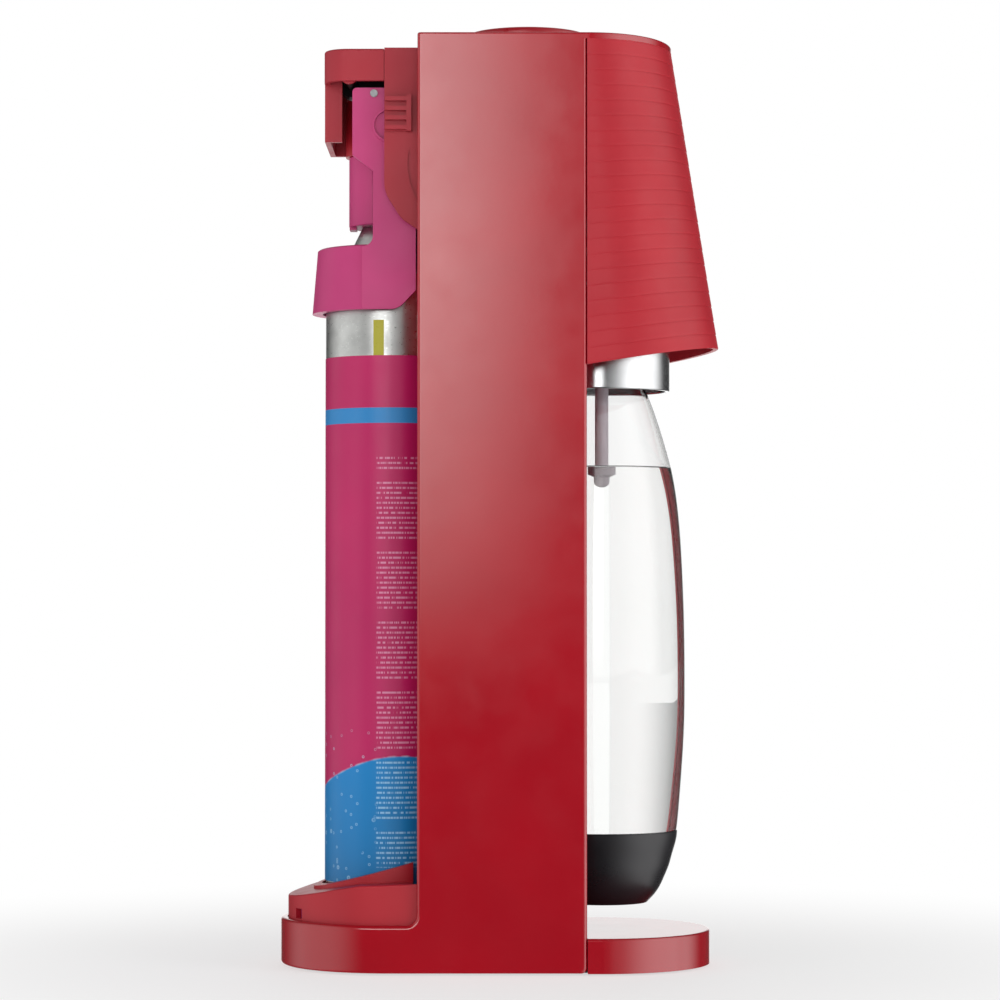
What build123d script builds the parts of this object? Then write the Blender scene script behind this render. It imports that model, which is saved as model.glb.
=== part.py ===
from build123d import *
import math
import os

os.makedirs("parts", exist_ok=True)

# A soda carbonator, in millimetres. The front faces -Y. Seen from the front, +X is to the right, and the
# left_ pieces are at -X. The origin is on the table below the middle of the machine.

# Outer shell
half_width = 50.0
panel_thick = 3.0
column_front = -38.7
column_rear = 36.9
column_top = 417.3
shell_bottom = 0.8
skirt_top = 22.0
edge_round = 1.6
top_thick = 2.9

# Base
tray_centre = -46.0
tray_top = 16.3
base_bottom = 1.0
base_top = 3.4
base_radius = 46.7
foot_radius = 8.0

# Ribbed head cover: its front leans out from the top to the slanted rim
head_wall = 2.5
head_top_front = -79.0
head_top_flat = -40.0
head_rim_front = -100.5
head_rim_flat = -50.5
head_rim_z = 281.5
head_rim_rear_z = 271.6
head_rear = -38.9

# Bottle and its holder
bottle_y = -46.8
bottle_wall = 1.0
bottle_seat_z = 32.0
cup_top = 61.5
cup_bottom = 28.4
neck_radius = 16.0
flange_radius = 20.0
flange_z = 282.3
bottle_top = 300.0
tilt_y = -40.0
tilt_z = 322.0
pin_radius = 4.0
collar_radius = 31.2
collar_wall = 2.0
collar_bottom = 262.0
collar_top = 300.0
ear_half_width = 33.6
jaw_inner = 18.5
jaw_outer = 24.0
jaw_half_length = 6.0
nozzle_radius = 3.1
nozzle_end = 226.0

# Gas cylinder
cylinder_y = 50.3
cylinder_radius = 29.8
cylinder_bottom = 36.0
cylinder_wall = 3.0
label_thick = 0.2
label_bottom = 38.7
label_top = 277.0
valve_radius = 19.2
valve_bottom = 337.6
valve_top = 370.0

# Gas port and locking lever
port_radius = 20.7
port_wall = 3.7
port_top = 395.0
pivot_z = 380.5
pivot_y = 50.0
pivot_radius = 4.0
arm_inner = 31.0
arm_outer = 34.0
ring_inner = 31.3
ring_low_radius = 36.0
ring_high_radius = 33.6
ring_bottom = 297.6
ring_top = 327.0

# Mechanism housing
cheek_inner = 36.5
cheek_outer = 40.0
cheek_rear = 52.0
cheek_top = 414.8
housing_rear = 79.4
housing_top = 414.4
housing_wall = 2.5

# Button and press lever
button_y = -12.5
button_radius = 29.0
button_top = 426.4
button_skirt_bottom = 409.0
stem_radius = 7.0
lever_axle_y = 68.0
lever_axle_z = 403.0
lever_bottom = 399.0
lever_top = 404.5
axle_radius = 2.5

# Fits
running_gap = 0.06
clear_gap = 0.4
screw_radius = 1.5
screw_gap = 0.05

# Where a box or cylinder stands on its place, or runs back from it
on_base = (Align.CENTER, Align.CENTER, Align.MIN)
from_front = (Align.CENTER, Align.MIN)

chassis_bottom = 389.0
chassis_top = 392.0
frame_flange = 34.0
bracket_outer = 37.0


def save(builder, name):
    """Names a finished piece and writes it."""
    builder.part.label = name
    export_step(builder.part, f"parts/{name}.step")


def round_end(radius, centre_y, back_y, front=True):
    """Plan outline with straight sides from back_y and a half circle about centre_y at its far end."""
    start = 180 if front else 0
    near_x = -radius if front else radius
    with BuildSketch() as outline:
        with BuildLine():
            side = Line((near_x, back_y), (near_x, centre_y))
            nose = CenterArc((0, centre_y), radius, start, 180)
            other = Line(nose @ 1, (-near_x, back_y))
            Line(other @ 1, side @ 0)
        make_face()
    return outline.sketch


def head_outline(radius, flat_y, front_y):
    """Plan outline of the head: short straight sides, then half an ellipse to the front."""
    with BuildSketch() as outline:
        with BuildLine():
            Line((-radius, head_rear), (-radius, flat_y))
            EllipticalCenterArc((0, flat_y), radius, flat_y - front_y, start_angle=180, arc_size=180)
            Line((radius, flat_y), (radius, head_rear))
            Line((radius, head_rear), (-radius, head_rear))
        make_face()
    return outline.sketch


def head_solid(radius, inset, low_z, high_z):
    """The leaning solid of the head between two heights, drawn in by inset at the front."""
    sections = []
    for z in (low_z, high_z):
        drop = (column_top - z) / (column_top - head_rim_z)
        front_y = head_top_front + drop * (head_rim_front - head_top_front) + inset
        flat_y = head_top_flat + drop * (head_rim_flat - head_top_flat)
        sections.append(Plane.XY.offset(z) * head_outline(radius, flat_y, front_y))
    return loft(sections=sections, ruled=True)


def turned(points, centre_y):
    """A solid turned about the vertical line at centre_y from straight (radius, z) points."""
    with BuildPart() as body:
        with BuildSketch(Plane.XZ.offset(-centre_y)):
            with BuildLine():
                Polyline(*points, close=True)
            make_face()
        revolve(axis=Axis((0, centre_y, 0), (0, 0, 1)))
    return body.part


def tube(outer, inner, bottom, top, centre_y):
    """A straight vertical tube."""
    return turned(((inner, bottom), (outer, bottom), (outer, top), (inner, top)), centre_y)


def curved_sheet(edge_y, apex_y, thick, half, bottom, top):
    """An upright sheet bent to one arc through its two edges and its middle."""
    with BuildPart() as sheet:
        with BuildSketch(Plane.XY.offset(bottom)):
            with BuildLine():
                near = ThreePointArc((-half, edge_y), (0, apex_y), (half, edge_y))
                far = ThreePointArc((-half, edge_y + thick), (0, apex_y + thick), (half, edge_y + thick))
                Line(near @ 0, far @ 0)
                Line(near @ 1, far @ 1)
            make_face()
        extrude(amount=top - bottom)
    return sheet.part


def cross_plane(x):
    """The upright plane across X at the given place, with Y and Z as its axes."""
    return Plane.YZ.offset(x)


def side_slab(side, inner_x, outer_x):
    """The plane and thickness of a plate that lies between two distances on one side."""
    return cross_plane(min(side * inner_x, side * outer_x)), outer_x - inner_x


def side_shell(side):
    """One half of the outer shell: a side panel that runs on into its half of the rear skirt."""
    inner = half_width - panel_thick
    plane, thick = side_slab(side, inner, half_width)
    with BuildPart() as shell:
        with BuildSketch(plane) as panel:
            with BuildLine():
                Polyline(
                    (column_front, shell_bottom),
                    (cylinder_y, shell_bottom),
                    (cylinder_y, skirt_top),
                    (column_rear, skirt_top),
                    (column_rear, column_top),
                    (column_front, column_top),
                    close=True,
                )
            make_face()
            inner_corner = panel.vertices().sort_by_distance((column_rear, skirt_top))[0]
            fillet(inner_corner, 5.0)
            fillet(panel.vertices().sort_by_distance((column_front, 0))[0], 2.7)
        extrude(amount=thick)
        with BuildSketch(Plane.XY.offset(shell_bottom)):
            with BuildLine():
                outer_arc = CenterArc((0, cylinder_y), half_width, 0 if side > 0 else 90, 90)
                inner_arc = CenterArc((0, cylinder_y), inner, 0 if side > 0 else 90, 90)
                Line(outer_arc @ 0, inner_arc @ 0)
                Line(outer_arc @ 1, inner_arc @ 1)
            make_face()
        extrude(amount=skirt_top - shell_bottom)
        uprights = shell.edges().filter_by(Axis.Z).filter_by(lambda e: e.length > 100)
        fillet(uprights.filter_by(lambda e: abs(e.center().X) > half_width - 0.1), edge_round)
    return shell.part


for side, side_name in ((-1, "left"), (1, "right")):
    with BuildPart() as outer_shell:
        add(side_shell(side))
    save(outer_shell, f"{side_name}_shell")

# Front base: a shallow inverted tray with its top carried back to the fascia
fascia_edge = -36.5
fascia_apex = -4.5
fascia_thick = 2.0
tray_wall = 2.5
seam_gap = 0.1
boss_x = 40.5
tray_boss_y = -52.0
with BuildPart() as front_base:
    with BuildSketch(Plane.XY.offset(shell_bottom)):
        add(round_end(half_width, tray_centre, head_rear))
    extrude(amount=tray_top - shell_bottom)
    fillet(front_base.edges().group_by(Axis.Z)[-1].filter_by(GeomType.CIRCLE), 1.2)
    floor_face = front_base.faces().sort_by(Axis.Z)[0]
    back_face = front_base.faces().sort_by(Axis.Y)[-1]
    offset(amount=-tray_wall, openings=[floor_face, back_face])
    with BuildSketch(Plane.XY.offset(tray_top - tray_wall)):
        with BuildLine():
            arc_edge = fascia_edge - seam_gap
            arc_middle = (0, fascia_apex - seam_gap)
            back = ThreePointArc((-base_radius, arc_edge), arc_middle, (base_radius, arc_edge))
            Polyline(back @ 1, (base_radius, head_rear - 1), (-base_radius, head_rear - 1), back @ 0)
        make_face()
    extrude(amount=tray_wall)
    with BuildSketch(Plane.XY.offset(base_top)):
        with Locations((boss_x, tray_boss_y), (-boss_x, tray_boss_y)):
            Circle(4.2)
            Circle(screw_radius + screw_gap, mode=Mode.SUBTRACT)
    extrude(amount=tray_top - tray_wall - base_top)
save(front_base, "front_base")

# Base plate, with counterbored holes for its screws
seat_boss_y = 61.0
seat_boss_x = 39.0
frame_boss_x = 28.0
frame_boss_y = 9.0
screw_places = [
    (x, y)
    for half, y in ((boss_x, tray_boss_y), (seat_boss_x, seat_boss_y), (frame_boss_x, frame_boss_y))
    for x in (-half, half)
]
foot_places = [(x, y) for x in (-30, 30) for y in (-64, 68)]
head_radius = 3.0
head_depth = 1.1
with BuildPart() as base_plate:
    with BuildSketch(Plane.XY.offset(base_bottom)):
        add(round_end(base_radius, tray_centre, 0))
        add(round_end(base_radius, cylinder_y, 0, front=False))
    extrude(amount=base_top - base_bottom)
    with Locations(*[(x, y, base_bottom) for x, y in screw_places]):
        Cylinder(screw_radius + 0.2, base_top - base_bottom, align=on_base,
                 mode=Mode.SUBTRACT)
        Cylinder(head_radius + 0.2, head_depth + 0.2, align=on_base,
                 mode=Mode.SUBTRACT)
save(base_plate, "base_plate")

with BuildPart() as rubber_feet:
    with BuildSketch():
        with Locations(*foot_places):
            Circle(foot_radius)
    extrude(amount=base_bottom)
    fillet(rubber_feet.edges().group_by(Axis.Z)[0], 0.3)
save(rubber_feet, "rubber_feet")

with BuildPart() as base_screws:
    with BuildSketch(Plane.XY.offset(base_bottom + 0.2)):
        with Locations(*screw_places):
            Circle(head_radius)
    extrude(amount=head_depth)
    with BuildSketch(Plane.XY.offset(base_bottom + 0.2 + head_depth)):
        with Locations(*screw_places):
            Circle(screw_radius)
    extrude(amount=8.0)
    with BuildSketch(Plane.XY.offset(base_bottom + 0.2)):
        with Locations(*screw_places):
            RegularPolygon(1.2, 6)
    extrude(amount=0.7, mode=Mode.SUBTRACT)
save(base_screws, "base_screws")

# Cylinder seat: a stepped surround whose top falls to the rear, with an inner guide wall
seat_radius = 46.6
seat_wall = 2.5
seat_front = 39.0
seat_floor = 28.5
guide_outer = 35.0
guide_inner = 31.2
seat_max = 49.0
rest_radius = 23.5
window_width = 6.0
window_height = 4.5
with BuildPart() as cylinder_seat:
    with BuildSketch(Plane.XY.offset(base_top)):
        add(round_end(seat_radius, cylinder_y, seat_front, front=False))
    extrude(amount=41.0 - base_top)
    with BuildSketch(Plane.YZ.offset(-half_width)):
        with BuildLine():
            Polyline(
                (seat_front - 1, 40.3), (62, 39.4), (73, 37.4), (98, 31.6), (98, 60), (seat_front - 1, 60),
                close=True,
            )
        make_face()
    extrude(amount=2 * half_width, mode=Mode.SUBTRACT)
    fillet(cylinder_seat.edges().filter_by(lambda e: e.center().Z > 31 and abs(e.center().X) > 5), 0.8)
    with BuildSketch(Plane.XY.offset(base_top)):
        add(round_end(seat_radius - seat_wall, cylinder_y, seat_front - 1, front=False))
    extrude(amount=seat_floor - base_top, mode=Mode.SUBTRACT)
    with BuildSketch(Plane.XY.offset(seat_floor)):
        with Locations((0, cylinder_y)):
            Circle(rest_radius + 1)
    extrude(amount=3.0, mode=Mode.SUBTRACT)
    with BuildSketch(Plane.XY.offset(seat_floor + 3.0)):
        with Locations((0, cylinder_y)):
            Circle(guide_inner)
    extrude(amount=30, mode=Mode.SUBTRACT)
    with BuildSketch(Plane.XY.offset(seat_floor + 3.0)) as guide_ring:
        with Locations((0, cylinder_y)):
            Circle(guide_outer)
            Circle(guide_inner, mode=Mode.SUBTRACT)
        with Locations((0, seat_front)):
            Rectangle(2 * half_width, 60, align=from_front, mode=Mode.INTERSECT)
    extrude(amount=seat_max - seat_floor - 3.0)
    with BuildSketch(Plane.YZ.offset(-guide_outer - 1)):
        with BuildLine():
            Polyline(
                (seat_front - 1, seat_max), (84, 36.4), (98, 33.0), (98, 60), (seat_front - 1, 60),
                close=True,
            )
        make_face()
    extrude(amount=2 * guide_outer + 2, mode=Mode.SUBTRACT)
    with BuildSketch(Plane.XY.offset(base_top)):
        with Locations((seat_boss_x, seat_boss_y), (-seat_boss_x, seat_boss_y)):
            Circle(4.2)
            Circle(screw_radius + screw_gap, mode=Mode.SUBTRACT)
    extrude(amount=18.0)
    for side in (-1, 1):
        with Locations(Location((0, cylinder_y, 25.0), (0, 0, 90 - side * 29.5))):
            Box(
                half_width, window_width, window_height, align=(Align.MIN, Align.CENTER, Align.CENTER),
                mode=Mode.SUBTRACT,
            )
save(cylinder_seat, "cylinder_seat")

# Pink rest that the cylinder is set down on, seen through the seat's windows
with BuildPart() as cylinder_rest:
    add(tube(seat_radius - seat_wall - 0.2, 0, 21.8, seat_floor - 0.05, cylinder_y))
    with BuildSketch(Plane.XY.offset(base_top)):
        add(round_end(60, cylinder_y, seat_front + 0.5, front=False))
    extrude(amount=40, mode=Mode.INTERSECT)
    add(tube(rest_radius, 0, seat_floor - 0.1, 32.4, cylinder_y))
save(cylinder_rest, "cylinder_rest")

# Column: front fascia, rear channel and the frame between them
fascia_top = 300.0
channel_edge = 34.5
channel_apex = 17.0
channel_opening = 330.6
column_inner = half_width - panel_thick
with BuildPart() as front_fascia:
    sheet_half = column_inner - seam_gap
    add(curved_sheet(fascia_edge, fascia_apex, fascia_thick, sheet_half, base_top, fascia_top))
save(front_fascia, "front_fascia")

with BuildPart() as rear_channel:
    add(curved_sheet(channel_edge, channel_apex, -fascia_thick, sheet_half, base_top, cheek_top))
    with Locations((0, channel_edge - 20, channel_opening)):
        Box(2 * cheek_outer + 1.6, 60, 100, align=on_base, mode=Mode.SUBTRACT)
save(rear_channel, "rear_channel")

frame_front = 0.0
frame_rear = 13.0
web_front = 4.0
web_thick = 3.0
hose_x = 12.0
hose_z = 378.0
frame_screw_places = [(6.0, 312.0), (6.0, 336.0)]
with BuildPart() as column_frame:
    with BuildSketch(Plane.XY.offset(base_top)):
        with Locations((0, (frame_front + frame_rear) / 2)):
            Rectangle(2 * frame_flange, frame_rear - frame_front)
            Rectangle(2 * frame_flange - 6, frame_rear - frame_front, mode=Mode.SUBTRACT)
        with Locations((0, web_front + web_thick / 2)):
            Rectangle(2 * frame_flange, web_thick)
    extrude(amount=chassis_bottom - base_top)
    with BuildSketch(Plane.XY.offset(base_top)):
        with Locations((0, (frame_front + frame_rear) / 2)):
            Rectangle(2 * frame_flange, frame_rear - frame_front)
        with Locations((frame_boss_x, frame_boss_y), (-frame_boss_x, frame_boss_y)):
            Circle(screw_radius + screw_gap, mode=Mode.SUBTRACT)
    extrude(amount=12.0)
    with Locations(Location((hose_x, 0, hose_z), (90, 0, 0))):
        Cylinder(4.0, 40, mode=Mode.SUBTRACT)
    for y, z in frame_screw_places:
        with Locations(Location((0, y, z), (0, 90, 0))):
            Cylinder(screw_radius + screw_gap, 2 * frame_flange, mode=Mode.SUBTRACT)
save(column_frame, "column_frame")

# Head: cover, chassis and the brackets of the tilt axis
with BuildPart() as head_cover:
    add(head_solid(half_width, 0, 262, column_top))
    add(head_solid(half_width - head_wall, head_wall, 258, column_top + 2), mode=Mode.SUBTRACT)
    with BuildSketch(Plane.YZ.offset(-half_width - 5)):
        slope = (head_rim_rear_z - head_rim_z) / (head_rear - head_rim_front)
        with BuildLine():
            Polyline(
                (head_rim_front - 10, 250),
                (head_rim_front - 10, head_rim_z - 10 * slope),
                (head_rear + 10, head_rim_rear_z + 10 * slope),
                (head_rear + 10, 250),
                close=True,
            )
        make_face()
    extrude(amount=2 * half_width + 10, mode=Mode.SUBTRACT)
save(head_cover, "head_cover")

with BuildPart() as top_plate:
    with BuildSketch(Plane.XY.offset(column_top)) as top_outline:
        add(head_outline(half_width, head_top_flat, head_top_front))
        with Locations((0, head_rear)):
            Rectangle(2 * half_width, column_rear - head_rear, align=from_front)
        fillet(top_outline.vertices().group_by(Axis.Y)[-1], edge_round)
    extrude(amount=top_thick)
    fillet(top_plate.edges().group_by(Axis.Z)[-1], 0.9)
    with Locations((0, button_y, column_top)):
        Cylinder(button_radius + clear_gap, 20, mode=Mode.SUBTRACT)
save(top_plate, "top_plate")

chassis_front = -34.0
portal_half = 14.0
with BuildPart() as upper_chassis:
    with BuildSketch(Plane.XY.offset(chassis_bottom)):
        with Locations((0, chassis_front)):
            Rectangle(2 * cheek_inner, 24 - chassis_front, align=from_front)
        with Locations((0, 20)):
            Rectangle(61, 42, align=from_front)
        with Locations((0, cylinder_y)):
            Circle(port_radius, mode=Mode.SUBTRACT)
    extrude(amount=chassis_top - chassis_bottom)
save(upper_chassis, "upper_chassis")

with BuildPart() as button_guide:
    with BuildSketch(Plane.XY.offset(chassis_top)):
        with Locations((-11.5, button_y), (11.5, button_y)):
            Rectangle(3, 2 * portal_half)
    extrude(amount=409 - chassis_top)
    with BuildSketch(Plane.XY.offset(409)):
        with Locations((0, button_y)):
            Rectangle(26, 2 * portal_half)
            Circle(stem_radius + running_gap, mode=Mode.SUBTRACT)
    extrude(amount=3)
save(button_guide, "button_guide")


def hinge_bracket(side):
    """A plate on the frame's flange that carries one end of the holder's tilt axis."""
    plane, thick = side_slab(side, frame_flange, bracket_outer)
    with BuildPart() as bracket:
        with BuildSketch(plane):
            with BuildLine():
                Polyline((12, 303), (12, 345), (-30, 345), (-48, 333), (-48, 312), (-30, 303), close=True)
            make_face()
            with Locations((tilt_y, tilt_z)):
                Circle(pin_radius + running_gap, mode=Mode.SUBTRACT)
            with Locations(*frame_screw_places):
                Circle(screw_radius + screw_gap, mode=Mode.SUBTRACT)
        extrude(amount=thick)
        fillet(bracket.edges().filter_by(Axis.X).filter_by(lambda e: e.center().Y < -25), 5)
    return bracket.part


for side, side_name in ((-1, "left"), (1, "right")):
    with BuildPart() as bracket:
        add(hinge_bracket(side))
    save(bracket, f"hinge_bracket_{side_name}")

with BuildPart() as frame_screws:
    for side in (-1, 1):
        for y, z in frame_screw_places:
            with Locations(Location((side * bracket_outer, y, z), (0, side * 90, 0))):
                Cylinder(head_radius, 1.5, align=on_base)
            with Locations(Location((side * (frame_flange - 3), y, z), (0, side * 90, 0))):
                Cylinder(screw_radius, 6, align=on_base)
save(frame_screws, "frame_screws")


def mechanism_cheek(side):
    """One cheek plate beside the lever, swept round below, with a raised line on it."""
    plane, thick = side_slab(side, cheek_inner, cheek_outer)
    line_plane, line_thick = side_slab(side, cheek_outer - 0.1, cheek_outer + 0.6)
    with BuildPart() as cheek:
        with BuildSketch(plane) as outline:
            with BuildLine():
                Polyline(
                    (12, 331), (34, 331), (44.5, 338), (cheek_rear, 350), (cheek_rear, cheek_top),
                    (12, cheek_top), close=True,
                )
            make_face()
            fillet(outline.vertices().sort_by_distance((34, 331))[0], 12)
            fillet(outline.vertices().sort_by_distance((44.5, 338))[0], 12)
            fillet(outline.vertices().sort_by_distance((cheek_rear, 350))[0], 14)
        extrude(amount=thick)
        with BuildSketch(line_plane):
            with BuildLine():
                near = ThreePointArc((41, 368), (39.4, 351), (31, 338.5))
                far = ThreePointArc((42.2, 368), (40.5, 350.4), (31, 336.9))
                Line(near @ 0, far @ 0)
                Line(near @ 1, far @ 1)
            make_face()
        extrude(amount=line_thick)
    return cheek.part


def cover_catch(side):
    """A ribbed thumb catch with an upright bar at its front end."""
    plane, thick = side_slab(side, cheek_outer, cheek_outer + 0.8)
    rib_plane, rib_thick = side_slab(side, cheek_outer, cheek_outer + 3.2)
    with BuildPart() as catch:
        with BuildSketch(plane):
            with Locations((45.6, 385.0)):
                Rectangle(12.2, 16.4)
        extrude(amount=thick)
        with BuildSketch(rib_plane):
            with Locations((40.9, 385.0)):
                Rectangle(2.2, 16.4)
            with Locations((46.4, 385.0)):
                with GridLocations(1, 4.3, 1, 4):
                    Rectangle(10.4, 1.9)
        extrude(amount=rib_thick)
    return catch.part


for side, side_name in ((-1, "left"), (1, "right")):
    with BuildPart() as cheek:
        add(mechanism_cheek(side))
    save(cheek, f"mechanism_cheek_{side_name}")
    with BuildPart() as catch:
        add(cover_catch(side))
    save(catch, f"cover_catch_{side_name}")

# Rear housing: a rounded cap over the lever, with a tongue down its rear and a roof reaching forward
housing_front = 52.2
side_wall_bottom = 400.0
tongue_half = 26.0
tongue_bottom = 374.0
tongue_front = 71.6
with BuildPart() as rear_housing:
    with BuildSketch(Plane.XY.offset(tongue_bottom)) as cap_outline:
        with Locations((0, housing_front)):
            Rectangle(2 * cheek_outer, housing_rear - housing_front, align=from_front)
        fillet(cap_outline.vertices().group_by(Axis.Y)[-1], 10.8)
    extrude(amount=housing_top - tongue_bottom)
    top_edges = rear_housing.edges().group_by(Axis.Z)[-1]
    fillet(top_edges.filter_by(lambda e: e.center().Y > housing_front + 1), 1.0)
    with BuildSketch(Plane.XY.offset(tongue_bottom - 1)) as cap_inside:
        with Locations((0, housing_front - 5)):
            Rectangle(
                2 * (cheek_outer - housing_wall), housing_rear - housing_wall - housing_front + 5,
                align=from_front,
            )
        fillet(cap_inside.vertices().group_by(Axis.Y)[-1], 8.3)
    extrude(amount=housing_top - housing_wall - tongue_bottom + 1, mode=Mode.SUBTRACT)
    for side in (-1, 1):
        with Locations((side * (tongue_half + 20), housing_front, tongue_bottom - 1)):
            Box(
                40, 60, side_wall_bottom - tongue_bottom + 1, align=on_base,
                mode=Mode.SUBTRACT,
            )
        boss_start = side * (cheek_outer - housing_wall - 3)
        with Locations(Location((boss_start, lever_axle_y, lever_axle_z), (0, side * 90, 0))):
            Cylinder(4.0, 3.2, align=on_base)
            Cylinder(axle_radius + 0.01, 3.0, align=on_base, mode=Mode.SUBTRACT)
        with Locations((side * (tongue_half - housing_wall / 2), tongue_front, tongue_bottom)):
            Box(
                housing_wall, housing_rear - tongue_front - 1, housing_top - 1 - tongue_bottom,
                align=(Align.CENTER, Align.MIN, Align.MIN),
            )
    with Locations((0, 30, housing_top - housing_wall)):
        Box(72.6, housing_front - 30 + 1, housing_wall, align=(Align.CENTER, Align.MIN, Align.MIN))
save(rear_housing, "rear_housing")

# Gas port: housing with its trunnion bosses, valve block, seal and pivot pins
boss_end = 29.5
pin_start = 21.0
pin_end = 33.0
fitting_front = 28.0
with BuildPart() as gas_port_housing:
    add(tube(port_radius, 0, 370, port_top, cylinder_y))
    with Locations(Location((0, pivot_y, pivot_z), (0, 90, 0))):
        Cylinder(8.0, 2 * boss_end)
    for x in (-hose_x, hose_x):
        with Locations((x, 32, hose_z)):
            Box(12, 8, 12)
    add(tube(port_radius - port_wall, 0, 365, port_top - 3, cylinder_y), mode=Mode.SUBTRACT)
    with Locations((0, cylinder_y, port_top)):
        Cylinder(3.0 + running_gap, 20, mode=Mode.SUBTRACT)
    for side in (-1, 1):
        with Locations(Location((side * pin_start, pivot_y, pivot_z), (0, side * 90, 0))):
            Cylinder(
                pivot_radius + 0.02, 20, align=on_base, mode=Mode.SUBTRACT
            )
save(gas_port_housing, "gas_port_housing")

with BuildPart() as lever_pivot_pins:
    for side in (-1, 1):
        with Locations(Location((side * pin_start, pivot_y, pivot_z), (0, side * 90, 0))):
            Cylinder(pivot_radius, pin_end - pin_start, align=on_base)
    fillet(lever_pivot_pins.edges().filter_by(GeomType.CIRCLE), 0.5)
save(lever_pivot_pins, "lever_pivot_pins")

spigot_radius = 8.0
with BuildPart() as valve_block:
    add(tube(port_radius - port_wall - 0.1, spigot_radius + 0.6, 371, 382.5, cylinder_y))
    add(tube(port_radius - port_wall - 0.1, 3.0 + running_gap, 382.5, port_top - 3, cylinder_y))
save(valve_block, "valve_block")

with BuildPart() as port_seal:
    add(tube(spigot_radius + 0.6, spigot_radius + 0.3, 376.5, 378.0, cylinder_y))
save(port_seal, "port_seal")

with BuildPart() as relief_valve:
    with BuildSketch(Plane.XZ.offset(-fitting_front)):
        with Locations((-hose_x, hose_z)):
            RegularPolygon(4.6, 6)
    extrude(amount=6)
    with BuildSketch(Plane.XZ.offset(-fitting_front + 6)):
        with Locations((-hose_x, hose_z)):
            Circle(3.0)
    extrude(amount=4)
save(relief_valve, "relief_valve")

with BuildPart() as hose_fitting:
    with BuildSketch(Plane.XZ.offset(-fitting_front)):
        with Locations((hose_x, hose_z)):
            RegularPolygon(4.6, 6)
    extrude(amount=4)
    with BuildSketch(Plane.XZ.offset(-fitting_front + 4)):
        with Locations((hose_x, hose_z)):
            Circle(3.4)
    extrude(amount=4)
save(hose_fitting, "hose_fitting")

# Gas hose from the port to the swivel on the tilt axis
swivel_x = 41.3
swivel_end = 45.5
hose_radius = 2.5
hose_points = [
    (hose_x, 20, hose_z), (hose_x, -14, hose_z), (29, -32, 366), (swivel_x, tilt_y, 350),
    (swivel_x, tilt_y, 331),
]


def tangent_radii(points):
    """The largest radius that each corner's two runs leave room for."""
    radii = []
    for before, corner, after in zip(points, points[1:], points[2:]):
        run_in = Vector(*corner) - Vector(*before)
        run_out = Vector(*after) - Vector(*corner)
        half_turn = math.radians(run_in.get_angle(run_out)) / 2
        radii.append(0.45 * min(run_in.length, run_out.length) / math.tan(half_turn))
    return radii


with BuildPart() as gas_hose:
    with BuildLine() as hose_route:
        FilletPolyline(*hose_points, radius=tangent_radii(hose_points))
    with BuildSketch(Plane(origin=hose_route.line @ 0, z_dir=hose_route.line % 0)):
        Circle(hose_radius)
    sweep()
save(gas_hose, "gas_hose")
print("hose bend radii", [round(r, 1) for r in tangent_radii(hose_points)])
hose_length = sum(edge.length for edge in hose_route.edges())
print("hose volume ratio", round(gas_hose.part.volume / (math.pi * hose_radius**2 * hose_length), 4))

with BuildPart() as gas_swivel:
    with Locations(Location((bracket_outer, tilt_y, tilt_z), (0, 90, 0))):
        Cylinder(5.5, swivel_end - bracket_outer, align=on_base)
    with Locations((swivel_x, tilt_y, tilt_z)):
        Cylinder(3.6, 9.0, align=on_base)
save(gas_swivel, "gas_swivel")

# Button, stem and spring
with BuildPart() as button:
    with Locations((0, button_y, button_skirt_bottom)):
        Cylinder(button_radius, button_top - button_skirt_bottom, align=on_base)
    fillet(button.edges().group_by(Axis.Z)[-1], 2.0)
    with Locations((0, button_y, button_skirt_bottom)):
        Cylinder(
            button_radius - 2.2, 420 - button_skirt_bottom, align=on_base,
            mode=Mode.SUBTRACT,
        )
save(button, "button")

with BuildPart() as button_stem:
    add(tube(stem_radius, 0, 405, 420, button_y))
save(button_stem, "button_stem")

spring_low = 412.0
spring_high = 419.9
spring_turns = 3
spring_wire = 0.7
spring_radius = 9.5
with BuildPart() as button_spring:
    pitch = (spring_high - spring_low - 2 * spring_wire - 0.1) / spring_turns
    with BuildLine(Plane.XY) as coil:
        coil_low = (0, button_y, spring_low + spring_wire + 0.05)
        Helix(pitch, pitch * spring_turns, spring_radius, center=coil_low)
    with BuildSketch(Plane(origin=coil.line @ 0, z_dir=coil.line % 0)):
        Circle(spring_wire)
    sweep(is_frenet=True)
save(button_spring, "button_spring")

# Press lever, its axle and the pin that it pushes; its stiffening rib stays behind the button's skirt
lever_front = -19.0
lever_half = 6.0
rib_half = 1.5
rib_rise = 3.5
rib_side = ((20, lever_top), (28, lever_top + rib_rise), (54, lever_top + rib_rise), (62, lever_top))
with BuildPart() as press_lever:
    with BuildSketch(cross_plane(-lever_half)):
        with BuildLine():
            Polyline(
                (lever_front, lever_bottom), (lever_axle_y, lever_bottom), (lever_axle_y, lever_top),
                (lever_front, lever_top), close=True,
            )
        make_face()
        with Locations((lever_axle_y, lever_axle_z)):
            Circle(5.6)
            Circle(axle_radius + running_gap, mode=Mode.SUBTRACT)
    extrude(amount=2 * lever_half)
    with BuildSketch(cross_plane(-rib_half)):
        with BuildLine():
            Polyline(*rib_side, close=True)
        make_face()
    extrude(amount=2 * rib_half)
save(press_lever, "press_lever")

with BuildPart() as press_lever_axle:
    with Locations(Location((0, lever_axle_y, lever_axle_z), (0, 90, 0))):
        Cylinder(axle_radius, 2 * (cheek_outer - housing_wall) - 0.1)
save(press_lever_axle, "press_lever_axle")

with BuildPart() as actuator_pin:
    add(tube(3.0, 0, 380.6, lever_bottom - clear_gap, cylinder_y))
save(actuator_pin, "actuator_pin")

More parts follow.
